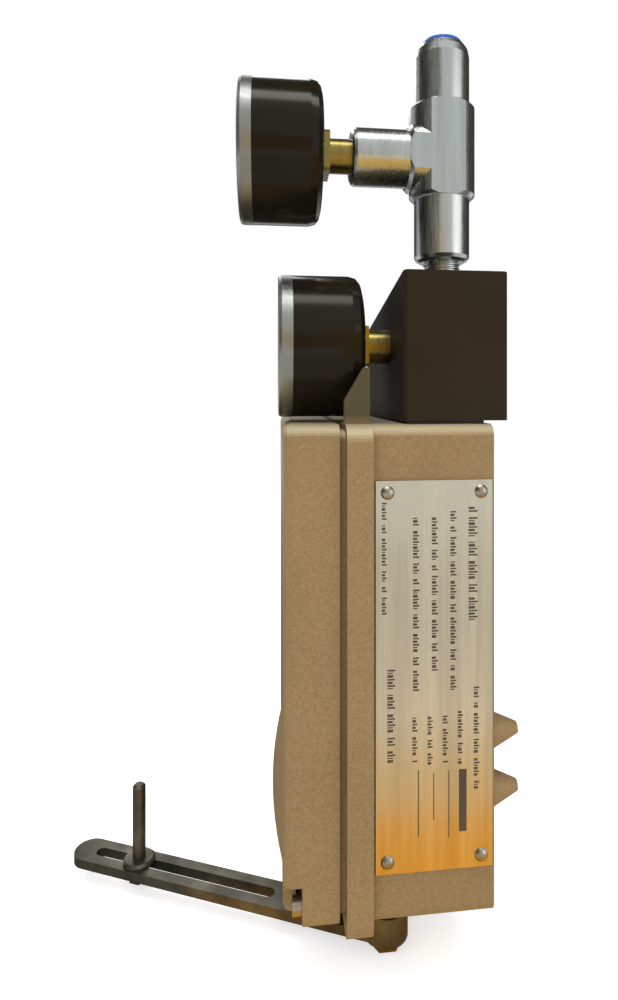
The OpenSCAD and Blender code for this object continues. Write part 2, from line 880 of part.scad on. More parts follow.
case_black = [0.04, 0.035, 0.03];
glass = [0.85, 0.9, 0.9, 0.35];
dial_white = [0.92, 0.92, 0.9];

module supply_case() { color(case_black) supply_at() gauge_case(); }
module supply_bezel() { color(steel) supply_at() gauge_bezel(); }
module supply_lens() { color(glass) supply_at() gauge_lens(); }
module supply_dial() { color(dial_white) supply_at() gauge_dial(); }
module supply_stem() { color(brass) supply_at() gauge_stem(); }
module supply_tube() { color(brass) supply_at() gauge_tube(); }
module supply_movement() { color(brass) supply_at() gauge_movement(); }
module supply_pointer() { color("black") supply_at() gauge_pointer(); }
module output_case() { color(case_black) output_at() gauge_case(); }
module output_bezel() { color(steel) output_at() gauge_bezel(); }
module output_lens() { color(glass) output_at() gauge_lens(); }
module output_dial() { color(dial_white) output_at() gauge_dial(); }
module output_stem() { color(brass) output_at() gauge_stem(); }
module output_tube() { color(brass) output_at() gauge_tube(); }
module output_movement() { color(brass) output_at() gauge_movement(); }
module output_pointer() { color("black") output_at() gauge_pointer(); }

// The lever's own frame: pivot at the origin, tip along +X
module lever_at() {
  translate([shaft_x, shaft_y, 0]) rotate([0, 0, 180 - lever_angle]) children();
}

module lever() {
  color([0.34, 0.32, 0.27])
  lever_at()
  translate([0, 0, lever_low])
  difference() {
    union() {
      cylinder(r = eye_r, h = lever_t + hub_h);
      cylinder(d = collar_d, h = hub_top - lever_low);
      translate([lever_l - tip_r, 0, 0]) cylinder(r = tip_r, h = lever_t);
      translate([0, -tip_r, 0]) cube([lever_l - tip_r, lever_w, lever_t]);
    }
    translate([0, 0, -cut]) cylinder(d = stub_bore, h = hub_top - lever_low + 2 * cut);
    for (x = [slot_start, slot_end]) translate([x, 0, -cut]) cylinder(d = slot_w, h = lever_t + 2 * cut);
    translate([slot_start, -slot_w / 2, -cut]) cube([slot_end - slot_start, slot_w, lever_t + 2 * cut]);
  }
}

stub_d = shaft_d - 1.7;
stub_bore = stub_d + 2 * run_gap;
collar_d = bush_d + 1;
washer_d = 12;
nut_d = 11;
shaft_head = 3;

module lever_shaft() {
  stub_l = hub_top - lever_low + washer_t + nut_t + stub_out;
  color(steel)
  translate([shaft_x, shaft_y, hub_top]) {
    cylinder(d = shaft_d - 2 * run_gap, h = arm_z + arm_t + shaft_head - hub_top);
    cylinder(d = collar_d, h = collar_t - air);
    translate([0, 0, -stub_l]) cylinder(d = stub_d, h = stub_l + eps);
  }
}

module lever_washer() {
  color(steel)
  translate([shaft_x, shaft_y, lever_low - washer_t])
  difference() {
    cylinder(d = washer_d, h = washer_t);
    translate([0, 0, -cut]) cylinder(d = stub_bore, h = washer_t + 2 * cut);
  }
}

module lever_nut() {
  color(brass)
  translate([shaft_x, shaft_y, lever_low - washer_t - nut_t])
  difference() {
    cylinder(d = nut_d, h = nut_t, $fn = 6);
    translate([0, 0, -cut]) cylinder(d = stub_bore, h = nut_t + 2 * cut);
  }
}

pin_nut_d = 7.6;
pin_nut_t = 3;
pin_nut_clear = 0.02;
slot_clear = 0.2;
shank_d = slot_w - 2 * slot_clear;
shank_out = 0.8;
pin_flange_t = 1.6;
pin_edge = 0.8;

// Pin with a round flange on the lever and a thinner shank through the slot
module follower_pin() {
  shank_l = run_gap + lever_t + run_gap + pin_nut_t + shank_out;
  color([0.43, 0.38, 0.28])
  lever_at()
  translate([pin_at, 0, lever_top + run_gap])
    rotate_extrude()
      polygon([[0, -shank_l], [shank_d / 2, -shank_l], [shank_d / 2, 0], [pin_flange_d / 2, 0],
        [pin_flange_d / 2, pin_flange_t / 2], [pin_flange_d / 2 - pin_edge, pin_flange_t],
        [pin_d / 2, pin_flange_t],
        [pin_d / 2, pin_h - pin_edge], [pin_d / 2 - pin_edge, pin_h], [0, pin_h]]);
}

module pin_nut() {
  color([0.43, 0.38, 0.28])
  lever_at()
  translate([pin_at, 0, lever_low - run_gap - pin_nut_t])
  difference() {
    cylinder(d = pin_nut_d, h = pin_nut_t, $fn = 6);
    translate([0, 0, -cut]) cylinder(d = shank_d + 2 * pin_nut_clear, h = pin_nut_t + 2 * cut);
  }
}

bush_clear = 0.02;
seal_l = 3;
ring_t = 1.2;
ring_d = bush_d + 2;
arm_eye_d = shaft_d + 6;
arm_w = 6;
post_l = spring_d + 1.2;

module bush(z) {
  translate([shaft_x, shaft_y, z])
  difference() {
    cylinder(d = bush_d - 2 * bush_clear, h = bush_l);
    translate([0, 0, -cut]) cylinder(d = shaft_d, h = bush_l + 2 * cut);
  }
}

module shaft_bush_lower() { color(brass) bush(boss_low); }
module shaft_bush_upper() { color(brass) bush(boss_top - bush_l); }

module shaft_seal() {
  color([0.08, 0.08, 0.08])
  translate([shaft_x, shaft_y, boss_low + bush_l])
  difference() {
    cylinder(d = bush_d - 2 * bush_clear, h = seal_l);
    translate([0, 0, -cut]) cylinder(d = shaft_d + run_gap, h = seal_l + 2 * cut);
  }
}

module shaft_ring() {
  color(steel)
  translate([shaft_x, shaft_y, boss_top + air])
  difference() {
    cylinder(d = ring_d, h = ring_t);
    translate([0, 0, -cut]) cylinder(d = shaft_d - 2 * run_gap, h = ring_t + 2 * cut);
  }
}

module feedback_arm() {
  color(steel)
  translate([shaft_x, shaft_y, arm_z])
  difference() {
    union() {
      cylinder(d = arm_eye_d, h = arm_t);
      translate([0, -arm_w / 2, 0]) cube([arm_l, arm_w, arm_t]);
      translate([arm_l, 0, 0]) cylinder(d = arm_w, h = arm_t);
      translate([arm_l, 0, arm_t - eps]) cylinder(d = post_d, h = post_l);
    }
    translate([0, 0, -cut]) cylinder(d = shaft_d - 2 * run_gap, h = arm_t + 2 * cut);
  }
}

// Range spring: a helix along +Y that narrows to a hook at each end
spring_y0 = shaft_y + post_d / 2 + air;
beam_post_l = 4.5;
spring_y1 = beam_y - beam_post_l - air;
ring_sides = 6;
rings_per_turn = 12;

function spring_r(s) = (spring_d - spring_wire) / 2 * min(1, min(s, 1 - s) * spring_turns / 1.5 + 0.12);
function spring_point(s) = [
  spring_x + spring_r(s) * cos(360 * spring_turns * s),
  spring_y0 + spring_wire / 2 + (spring_y1 - spring_y0 - spring_wire) * s,
  spring_z + spring_r(s) * sin(360 * spring_turns * s)];

module range_spring() {
  rings = spring_turns * rings_per_turn;
  points = [for (i = [0:rings]) let (s = i / rings, a = 360 * spring_turns * s, c = spring_point(s))
    for (k = [0:ring_sides - 1]) let (b = 360 * k / ring_sides)
      c + spring_wire / 2 * [cos(b) * cos(a), sin(b), cos(b) * sin(a)]];
  sides = [for (i = [0:rings - 1], k = [0:ring_sides - 1]) let (n = (k + 1) % ring_sides)
    [i * ring_sides + k, i * ring_sides + n, (i + 1) * ring_sides + n, (i + 1) * ring_sides + k]];
  first = [for (k = [0:ring_sides - 1]) ring_sides - 1 - k];
  last = [for (k = [0:ring_sides - 1]) rings * ring_sides + k];
  color(steel) polyhedron(points, concat(sides, [first, last]));
}

pivot_bore = pivot_d / 2;
pivot_pin_d = pivot_bore - 2 * run_gap;
fork_gap = beam_w / 2 + air;
fork_t = 3;
fork_h = 12;
fork_lead = 4;
fork_web = 6;
fork_x = beam_x - fork_gap - fork_t;

// The beam has a toe that reaches to the spring's post
module balance_beam() {
  color(bare_alloy)
  difference() {
    union() {
      translate([beam_x - beam_w / 2, beam_y, beam_low]) cube([beam_w, beam_t, beam_high - beam_low]);
      translate([min(beam_x, spring_x) - post_d / 2, beam_y, spring_z - post_d / 2])
        cube([abs(spring_x - beam_x) + post_d, beam_t, post_d]);
      translate([spring_x, 0, spring_z]) bar_y(beam_y - beam_post_l, post_d, beam_post_l + eps);
    }
    translate([0, beam_y + beam_t / 2, pivot_z]) bar_x(beam_x - beam_w, pivot_bore, 2 * beam_w);
  }
}

module beam_bracket() {
  color(steel)
  difference() {
    for (x = [fork_x, beam_x + fork_gap])
      translate([x, beam_y - fork_lead, pivot_z - fork_h / 2])
        cube([fork_t, beam_t + 2 * fork_lead + fork_web, fork_h]);
    translate([0, beam_y + beam_t / 2, pivot_z]) bar_x(beam_x - beam_w, pivot_pin_d, 2 * beam_w);
  }
  color(steel)
    translate([fork_x, beam_y + beam_t + fork_lead, pivot_z - fork_h / 2])
      cube([-wall - fork_x, fork_web, fork_h]);
}

module beam_pivot() {
  color(steel)
    translate([0, beam_y + beam_t / 2, pivot_z]) bar_x(fork_x, pivot_pin_d, 2 * (fork_gap + fork_t));
}

module flapper() {
  color(steel)
    translate([beam_x, 0, nozzle_z]) bar_y(beam_y - flapper_t, flapper_d, flapper_t);
}

nozzle_tip = beam_y - flapper_t - nozzle_gap;
nozzle_l = 7;
nozzle_d = 4;
nozzle_clear = 0.02;
nozzle_root = 6;
nozzle_hex = 6;
nozzle_hex_t = 4;
nozzle_tip_d = 3;
nozzle_bore = 1;
nozzle_side = 12;
nozzle_block_y = nozzle_tip - nozzle_l;

module nozzle_block() {
  color(bare_alloy)
  difference() {
    translate([beam_x - nozzle_side / 2, nozzle_block_y - nozzle_side, nozzle_z - nozzle_side / 2])
      cube([-wall - beam_x + nozzle_side / 2, nozzle_side, nozzle_side]);
    translate([beam_x, 0, nozzle_z]) bar_y(nozzle_block_y - nozzle_root, nozzle_d, nozzle_root + cut);
  }
}

module nozzle() {
  color(brass)
  translate([beam_x, nozzle_block_y, nozzle_z])
  difference() {
    union() {
      bar_y(-nozzle_root, nozzle_d - 2 * nozzle_clear, nozzle_root + eps);
      bar_y(0, nozzle_hex, nozzle_hex_t);
      bar_y(nozzle_hex_t - eps, nozzle_tip_d, nozzle_l - nozzle_hex_t + eps);
    }
    bar_y(-nozzle_root - cut, nozzle_bore, nozzle_root + nozzle_l + 2 * cut);
  }
}

// Signal capsule on the far wall, pressing on the beam
capsule_t = 20;
capsule_rim = 5;
capsule_well = 8;
cap_well = 3;
capsule_y1 = cav_y;
capsule_y0 = capsule_y1 - capsule_t;
cap_t = 6;
diaphragm_t = 0.8;
cap_y = capsule_y0 - diaphragm_t - cap_t;
rod_tip = beam_y + beam_t + rod_gap;
rod_clear = 1;
small_screw_d = 2.5;
small_head_d = 4.4;
small_head_t = 2;
small_bite = 6;
capsule_bolt_edge = 2.6;

module capsule_bolts() {
  for (a = [45:90:315]) rotate([0, a, 0]) translate([capsule_d / 2 - capsule_bolt_edge, 0, 0]) children();
}

module capsule_base() {
  color(bare_alloy)
  translate([capsule_x, 0, capsule_z])
  difference() {
    bar_y(capsule_y0, capsule_d, capsule_t);
    bar_y(capsule_y0 - cut, capsule_d - 2 * capsule_rim, capsule_well + cut);
    capsule_bolts() bar_y(capsule_y0 - cut, small_screw_d, small_bite + cut);
  }
}

module diaphragm() {
  color([0.12, 0.12, 0.12])
  translate([capsule_x, 0, capsule_z]) {
    difference() {
      bar_y(capsule_y0 - diaphragm_t, capsule_d, diaphragm_t);
      capsule_bolts() bar_y(capsule_y0 - diaphragm_t - cut, small_screw_d, diaphragm_t + 2 * cut);
    }
    bar_y(rod_tip, rod_d, capsule_y0 - diaphragm_t - rod_tip + eps);
  }
}

module capsule_cap() {
  color(bare_alloy)
  translate([capsule_x, cap_y, capsule_z])
  difference() {
    bar_y(0, capsule_d, cap_t);
    bar_y(-cut, rod_d + 2 * rod_clear, cap_t + 2 * cut);
    bar_y(cap_t - cap_well, capsule_d - 2 * capsule_rim, cap_well + cut);
    capsule_bolts() bar_y(-cut, small_screw_d, cap_t + 2 * cut);
  }
}

module capsule_screws() {
  color(steel)
  translate([capsule_x, cap_y, capsule_z])
    capsule_bolts() {
      bar_y(0, small_screw_d - 2 * run_gap, cap_t + diaphragm_t + small_bite);
      bar_y(-small_head_t, small_head_d, small_head_t);
    }
}

// Booster with its cap and the two adjusters above the cap
adjuster_edge = 8;
booster_screw_edge = 4;
booster_cap_drop = 14;
booster_well_d = 14;
booster_well_z = 15;
booster_well = 11;
gain_y = booster_y0 + adjuster_edge;
volume_y = booster_y1 - adjuster_edge;
adjust_z = booster_z1 - adjuster_edge;

module at_adjusters() {
  for (y = [gain_y, volume_y]) translate([0, y, adjust_z]) children();
}

module at_booster_screws() {
  for (y = [booster_y0 + booster_screw_edge, booster_y1 - booster_screw_edge],
      z = [booster_z0 + booster_screw_edge, booster_z1 - booster_cap_drop - booster_screw_edge])
    translate([0, y, z]) children();
}

module booster_body() {
  color(bare_alloy)
  difference() {
    translate([booster_front, booster_y0, booster_z0])
      cube([-wall - booster_front, booster_y1 - booster_y0, booster_z1 - booster_z0]);
    at_booster_screws() bar_x(booster_front - cut, small_screw_d, small_bite + 2 * cut);
    at_adjusters() bar_x(booster_front - cut, adjuster_bore, adjuster_depth + cut);
    translate([0, (booster_y0 + booster_y1) / 2, booster_z0 + booster_well_z])
      bar_x(booster_front - cut, booster_well_d, booster_well + cut);
  }
}

module booster_cap() {
  color(bare_alloy)
  difference() {
    translate([booster_front - booster_cap_t, booster_y0, booster_z0])
      cube([booster_cap_t, booster_y1 - booster_y0, booster_z1 - booster_z0 - booster_cap_drop]);
    at_booster_screws() bar_x(booster_front - booster_cap_t - cut, small_screw_d, booster_cap_t + 2 * cut);
  }
}

module booster_screws() {
  color(steel)
  at_booster_screws() {
    bar_x(booster_front - booster_cap_t, small_screw_d - 2 * run_gap, booster_cap_t + small_bite + cut);
    bar_x(booster_front - booster_cap_t - small_head_t, small_head_d, small_head_t);
  }
}

// A slotted adjuster with a wide head, pointing -X, seated in a bore that starts at x
adjuster_head_d = adjuster_d + 3;
adjuster_head_t = 6;
adjuster_slot = 1.2;

module adjuster(x) {
  difference() {
    union() {
      bar_x(x - cut, adjuster_d, adjuster_depth);
      bar_x(x - adjuster_head_t, adjuster_head_d, adjuster_head_t - run_gap);
    }
    translate([x - adjuster_head_t - cut, -adjuster_slot / 2, -adjuster_d])
      cube([2 * adjuster_slot + cut, adjuster_slot, 2 * adjuster_d]);
  }
}

module gain_screw() { color(brass) translate([0, gain_y, adjust_z]) adjuster(booster_front); }
module volume_screw() { color(brass) translate([0, volume_y, adjust_z]) adjuster(booster_front); }
module zero_screw() { color(brass) translate([0, zero_y, zero_z]) adjuster(zero_boss); }

housing();
cover();
cover_gasket();
cover_screws();
nameplate();
nameplate_rivets();
gauge_block();
block_seal();
block_screws();
tee_fitting();
tee_nipple();
inlet_plug();
supply_case();
supply_bezel();
supply_lens();
supply_dial();
supply_stem();
supply_tube();
supply_movement();
supply_pointer();
output_case();
output_bezel();
output_lens();
output_dial();
output_stem();
output_tube();
output_movement();
output_pointer();
lever();
lever_shaft();
lever_washer();
lever_nut();
follower_pin();
pin_nut();
shaft_bush_lower();
shaft_bush_upper();
shaft_seal();
shaft_ring();
feedback_arm();
range_spring();
balance_beam();
beam_bracket();
beam_pivot();
flapper();
capsule_base();
diaphragm();
capsule_cap();
capsule_screws();
nozzle_block();
nozzle();
booster_body();
booster_cap();
booster_screws();
zero_screw();
gain_screw();
volume_screw();
vent_plug();
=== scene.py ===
"""Looks of the valve positioner: materials, dials, thread, plate marks, light and camera."""
import json
import math

import bmesh
import bpy
from mathutils import Matrix, Vector


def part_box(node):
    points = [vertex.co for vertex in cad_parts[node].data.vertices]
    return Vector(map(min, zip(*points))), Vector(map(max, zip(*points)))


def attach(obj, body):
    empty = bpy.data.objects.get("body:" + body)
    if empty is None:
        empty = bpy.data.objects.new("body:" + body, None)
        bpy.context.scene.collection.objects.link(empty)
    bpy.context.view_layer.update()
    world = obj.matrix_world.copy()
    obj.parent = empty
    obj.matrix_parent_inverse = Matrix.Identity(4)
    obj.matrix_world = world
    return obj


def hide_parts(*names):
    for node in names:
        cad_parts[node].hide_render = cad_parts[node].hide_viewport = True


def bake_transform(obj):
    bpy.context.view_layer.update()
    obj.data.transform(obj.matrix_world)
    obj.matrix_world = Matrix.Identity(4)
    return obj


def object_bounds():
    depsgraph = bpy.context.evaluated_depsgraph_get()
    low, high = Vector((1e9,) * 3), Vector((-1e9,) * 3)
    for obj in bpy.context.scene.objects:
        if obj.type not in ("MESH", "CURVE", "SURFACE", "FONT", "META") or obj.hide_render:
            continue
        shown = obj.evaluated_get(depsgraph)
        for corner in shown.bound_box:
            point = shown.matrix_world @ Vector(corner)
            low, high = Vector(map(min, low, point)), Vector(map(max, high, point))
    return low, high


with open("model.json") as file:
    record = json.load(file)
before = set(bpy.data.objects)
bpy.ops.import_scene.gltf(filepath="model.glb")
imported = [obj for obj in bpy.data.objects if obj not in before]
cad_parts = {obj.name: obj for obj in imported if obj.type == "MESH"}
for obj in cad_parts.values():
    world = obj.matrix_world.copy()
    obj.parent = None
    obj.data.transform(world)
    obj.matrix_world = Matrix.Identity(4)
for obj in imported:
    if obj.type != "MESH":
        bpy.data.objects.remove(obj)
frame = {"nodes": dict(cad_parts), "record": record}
cad_box = [list(corner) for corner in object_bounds()]
NODES = frame["nodes"]
MM = 0.001

# The photograph's size in pixels and the camera that took it
IMAGE_W = 618
IMAGE_H = 1000
FOCAL_PX = 650
PRINCIPAL_X = 357
PRINCIPAL_Y = 395
SENSOR_MM = 36
CLIP_START = 10 * MM
CAMERA_AT = Vector((-0.067, -0.2496, 0.085))
CAMERA_YAW = math.radians(7.08)


def srgb(r, g, b):
    """Linear colour from 8-bit screen values."""
    def lin(v):
        v = v / 255
        return v / 12.92 if v <= 0.04045 else ((v + 0.055) / 1.055) ** 2.4
    return (lin(r), lin(g), lin(b), 1.0)


def add_object(name, data):
    """A new object in the scene."""
    obj = bpy.data.objects.new(name, data)
    bpy.context.scene.collection.objects.link(obj)
    return obj


# Materials

WHITE = (1.0, 1.0, 1.0, 1.0)


class Shader:
    """A node material with its Principled shader and a few short ways to build on it."""

    def __init__(self, name):
        self.mat = bpy.data.materials.new(name)
        self.mat.use_nodes = True
        self.nodes = self.mat.node_tree.nodes
        self.links = self.mat.node_tree.links
        self.bsdf = self.nodes["Principled BSDF"]
        self.place = self.nodes.new("ShaderNodeTexCoord").outputs["Object"]

    def set(self, **values):
        """Sets sockets of the shader, named with _ for a space."""
        for key, value in values.items():
            self.bsdf.inputs[key.replace("_", " ")].default_value = value
        return self

    def scaled(self, scale):
        """Object coordinates stretched by a factor on each axis."""
        node = self.nodes.new("ShaderNodeMapping")
        node.inputs["Scale"].default_value = scale
        self.links.new(self.place, node.inputs["Vector"])
        return node.outputs["Vector"]

    def noise(self, scale, detail, rough=0.55, stretch=(1, 1, 1)):
        """Noise from 0 to 1 with a number of repeats a metre and of finer layers."""
        node = self.nodes.new("ShaderNodeTexNoise")
        node.inputs["Scale"].default_value = scale
        node.inputs["Detail"].default_value = detail
        node.inputs["Roughness"].default_value = rough
        self.links.new(self.scaled(stretch), node.inputs["Vector"])
        return node.outputs["Fac"]

    def ramp(self, value, stops):
        """A colour from a value, by (place, colour) stops."""
        node = self.nodes.new("ShaderNodeValToRGB")
        band = node.color_ramp
        while len(band.elements) < len(stops):
            band.elements.new(0.5)
        for element, (position, colour) in zip(band.elements, stops):
            element.position = position
            element.color = colour
        self.links.new(value, node.inputs["Fac"])
        return node.outputs["Color"]

    def span(self, value, low, high, start=0.0, end=1.0):
        """Low to high while the value goes from start to end."""
        node = self.nodes.new("ShaderNodeMapRange")
        node.inputs["From Min"].default_value = start
        node.inputs["From Max"].default_value = end
        node.inputs["To Min"].default_value = low
        node.inputs["To Max"].default_value = high
        self.links.new(value, node.inputs["Value"])
        return node.outputs["Result"]

    def axis(self, letter, source=None):
        """One part of a vector, by default of the place on the object."""
        node = self.nodes.new("ShaderNodeSeparateXYZ")
        self.links.new(source or self.place, node.inputs["Vector"])
        return node.outputs[letter]

    def rise(self, start, end, letter="Z"):
        """0 to 1 between two places along one axis of the object."""
        return self.span(self.axis(letter), 0.0, 1.0, start, end)

    def facing_up(self):
        return self.axis("Z", self.nodes.new("ShaderNodeNewGeometry").outputs["Normal"])

    def blend(self, factor, first, second, mode="MIX"):
        """Two colours mixed, each a socket or a plain colour."""
        node = self.nodes.new("ShaderNodeMix")
        node.data_type = "RGBA"
        node.blend_type = mode
        self.links.new(factor, node.inputs["Factor"])
        for socket, value in (("A", first), ("B", second)):
            target = [i for i in node.inputs if i.name == socket and i.type == "RGBA"][0]
            if isinstance(value, tuple):
                target.default_value = value
            else:
                self.links.new(value, target)
        return [o for o in node.outputs if o.type == "RGBA"][0]

    def colour(self, socket):
        self.links.new(socket, self.bsdf.inputs["Base Color"])

    def rough(self, socket):
        self.links.new(socket, self.bsdf.inputs["Roughness"])

    def bump(self, height, strength, distance):
        node = self.nodes.new("ShaderNodeBump")
        node.inputs["Strength"].default_value = strength
        node.inputs["Distance"].default_value = distance
        self.links.new(height, node.inputs["Height"])
        self.links.new(node.outputs["Normal"], self.bsdf.inputs["Normal"])


def tan_paint():
    """Satin tan paint with a fine grain and a thin clear layer, a painted highlight on up-facing
    faces near the top, and painted dark olive shade on the ears above the housing, under the output
    gauge."""
    s = Shader("tan_paint").set(Specular_IOR_Level=0.35, Coat_Weight=0.05, Coat_Roughness=0.4)
    base = s.ramp(s.noise(16, 3), [(0.3, srgb(143, 118, 78)), (0.72, srgb(153, 127, 86))])
    grain = s.ramp(s.noise(1700, 2), [(0.36, srgb(214, 212, 206)), (0.64, WHITE)])
    painted = s.blend(s.span(s.noise(9, 3), 0.5, 0.8), base, grain, "MULTIPLY")
    # Painted highlight: up-facing faces near the top are paler, standing in for light from above
    up_highlight = s.span(s.facing_up(), 0.0, 0.7, 0.1, 0.7)
    highlit_paint = s.blend(up_highlight, painted, srgb(196, 186, 152))
    seal_low, seal_high = (corner[2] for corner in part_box("block_seal"))
    near_top = s.rise(seal_low - 6 * MM, seal_low - 3 * MM)
    # Painted shade: the tan above the housing top, under the output gauge, is painted dark olive
    ear_shade = s.rise(seal_low - 2 * MM, seal_high + 2 * MM)
    s.colour(s.blend(ear_shade, s.blend(near_top, painted, highlit_paint), srgb(70, 64, 42)))
    s.rough(s.span(s.noise(320, 3), 0.46, 0.6))
    s.bump(s.noise(1300, 3, rough=0.6), strength=0.2, distance=0.3 * MM)
    return s.mat


def metal(name, dark, light, smooth, dull, stretch, grain=900, strength=0.2):
    """Bare metal with tool marks that run across the stretched axes."""
    s = Shader(name).set(Metallic=1.0)
    s.colour(s.ramp(s.noise(60, 4, stretch=stretch), [(0.25, dark), (0.75, light)]))
    marks = s.noise(grain, 3, stretch=stretch)
    s.rough(s.span(marks, smooth, dull, 0.3, 0.7))
    s.bump(marks, strength, distance=0.04 * MM)
    return s.mat


def black_anodised():
    """Dark warm anodised block with a faint milled grain."""
    s = Shader("black_anodised")
    s.set(Specular_IOR_Level=0.16, Specular_Tint=(1.0, 0.9, 0.76, 1))
    s.colour(s.ramp(s.noise(45, 4), [(0.3, srgb(30, 26, 17)), (0.75, srgb(38, 33, 23))]))
    s.rough(s.span(s.noise(700, 3, stretch=(1, 1, 0.08)), 0.5, 0.62))
    s.bump(s.noise(1300, 2), strength=0.12, distance=0.1 * MM)
    return s.mat


def gloss_black():
    """Glossy black enamel of the gauge cases."""
    s = Shader("gloss_black")
    s.set(Specular_IOR_Level=0.14, Specular_Tint=(1.0, 0.95, 0.88, 1))
    s.colour(s.ramp(s.noise(30, 3), [(0.3, srgb(22, 19, 13)), (0.8, srgb(30, 26, 18))]))
    s.rough(s.span(s.noise(160, 4), 0.14, 0.22))
    s.bump(s.noise(90, 2), strength=0.05, distance=0.2 * MM)
    return s.mat


def nameplate_metal():
    """Brushed aluminium, a little warmer towards its lower end, where a warm reflection is painted
    in.
    """
    s = Shader("nameplate_metal").set(Metallic=1.0)
    low, high = (corner[2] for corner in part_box("nameplate"))
    # Painted reflection: the warmer, golden lower end of this ramp stands in for warm light
    # reflected from below
    tone_and_reflection = s.ramp(s.rise(low, high), [
        (0.0, srgb(208, 184, 140)), (0.25, srgb(206, 184, 144)), (0.4, srgb(206, 194, 172)),
        (0.62, srgb(190, 183, 166)), (1.0, srgb(182, 178, 163))])
    streaks = s.noise(420, 4, stretch=(1, 1, 0.03))
    shade = s.ramp(streaks, [(0.3, srgb(222, 220, 216)), (0.7, WHITE)])
    s.colour(s.blend(s.span(s.noise(14, 3), 0.5, 0.9), tone_and_reflection, shade, "MULTIPLY"))
    s.rough(s.span(streaks, 0.18, 0.3, 0.3, 0.7))
    s.bump(streaks, strength=0.2, distance=0.05 * MM)
    return s.mat


def lever_steel():
    """Dull rolled steel with dark stains."""
    s = Shader("lever_steel").set(Metallic=0.85)
    s.colour(s.ramp(s.noise(70, 5), [
        (0.28, srgb(62, 60, 53)), (0.55, srgb(97, 94, 85)), (0.8, srgb(130, 126, 114))]))
    s.rough(s.span(s.noise(240, 4), 0.32, 0.52))
    s.bump(s.noise(600, 4), strength=0.25, distance=0.1 * MM)
    return s.mat


def plastic(name, dark, light, rough):
    """Plain plastic, rubber, ink or card."""
    s = Shader(name).set(Specular_IOR_Level=0.4)
    s.colour(s.ramp(s.noise(60, 3), [(0.3, dark), (0.7, light)]))
    s.rough(s.span(s.noise(300, 3), rough - 0.06, rough + 0.06))
    s.bump(s.noise(900, 2), strength=0.08, distance=0.1 * MM)
    return s.mat


def clear_lens():
    """Clear glass of the gauges, very slightly uneven."""
    s = Shader("clear_lens").set(Base_Color=WHITE, Transmission_Weight=1.0, IOR=1.46)
    s.rough(s.span(s.noise(120, 3), 0.01, 0.04))
    return s.mat


EVEN = (1, 1, 1)
SILVER = (srgb(126, 122, 113), srgb(160, 156, 147))
STAINLESS = (srgb(150, 156, 155), srgb(171, 177, 175))
BRASS = (srgb(113, 102, 56), srgb(143, 130, 76))
CHROME = (srgb(118, 121, 119), srgb(142, 145, 142))
MATERIALS = {
    "tan_paint": tan_paint(),
    "black_block": black_anodised(),
    "stainless": metal("stainless", *STAINLESS, 0.22, 0.34, (6, 6, 0.3), grain=320, strength=0.06),
    "zinc_steel": metal("zinc_steel", *SILVER, 0.24, 0.4, EVEN),
    "bare_steel": lever_steel(),
    "plate": nameplate_metal(),
    "brass": metal("brass", *BRASS, 0.24, 0.36, (8, 1, 1)),
    "case_black": gloss_black(),
    "lens": clear_lens(),
    "dial": plastic("dial_white", srgb(226, 226, 220), srgb(238, 238, 233), 0.5),
    "pointer": plastic("pointer_black", srgb(18, 18, 18), srgb(28, 28, 28), 0.45),
    "blue_plastic": plastic("blue_plastic", srgb(20, 84, 172), srgb(34, 104, 196), 0.32),
    "rubber": plastic("rubber_black", srgb(24, 24, 24), srgb(36, 35, 34), 0.7),
    "alloy": metal("machined_alloy", *SILVER, 0.3, 0.44, (1, 6, 1)),
}
BEZEL = metal("bezel_chrome", *CHROME, 0.3, 0.44, EVEN)
DIAL_INK = plastic("dial_ink", srgb(16, 16, 16), srgb(26, 26, 26), 0.5)
PLATE_INK = plastic("plate_ink", srgb(58, 48, 36), srgb(78, 66, 50), 0.55)

for part in frame["record"]["subparts"]:
    is_bezel = part["node"].endswith("_bezel")
    slots = NODES[part["node"]].data.materials
    slots.clear()
    slots.append(BEZEL if is_bezel else MATERIALS[part["material_slot"]])


# New pieces

NEW_SMOOTH_ANGLE = math.radians(35)
REVOLVE_STEPS = 96


def finish_mesh(name, bm, material):
    """Turns a bmesh into a piece that rides on the frame."""
    mesh = bpy.data.meshes.new(name)
    bm.normal_update()
    bm.to_mesh(mesh)
    bm.free()
    obj = add_object(name, mesh)
    mesh.materials.append(material)
    mesh.shade_smooth()
    mesh.set_sharp_from_angle(angle=NEW_SMOOTH_ANGLE)
    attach(obj, "frame")
    return obj


def add_box(bm, size, matrix):
    bmesh.ops.create_cube(bm, size=1.0, matrix=matrix @ Matrix.Diagonal((*size, 1.0)))


def revolve(outline):
    """A bmesh of a closed outline of (radius, height) points turned about Z."""
    bm = bmesh.new()
    angles = [2 * math.pi * i / REVOLVE_STEPS for i in range(REVOLVE_STEPS)]
    rings = [[bm.verts.new((r * math.cos(a), r * math.sin(a), z)) for a in angles]
             for r, z in outline]
    for first, second in zip(rings, rings[1:] + rings[:1]):
        for i in range(REVOLVE_STEPS):
            j = (i + 1) % REVOLVE_STEPS
            bm.faces.new((first[i], first[j], second[j], second[i]))
    bmesh.ops.recalc_face_normals(bm, faces=bm.faces)
    return bm


NIPPLE_BORE_R = 3.5 * MM
THREAD_PITCH = 1.35 * MM
THREAD_DEPTH = 0.55 * MM
# Foot, crest, crest and foot of one ridge, as shares of the pitch
RIDGE = (0.1, 0.42, 0.58, 0.9)


def thread_outline(radius, low, high):
    """A tube's outline with thread ridges on its outside."""
    turns = round((high - low) / THREAD_PITCH)
    step = (high - low) / turns
    root = radius - THREAD_DEPTH
    points = [(NIPPLE_BORE_R, low), (root, low)]
    for i in range(turns):
        points += [(r, low + i * step + share * step)
                   for r, share in zip((root, radius, radius, root), RIDGE)]
    return points + [(root, high), (NIPPLE_BORE_R, high)]


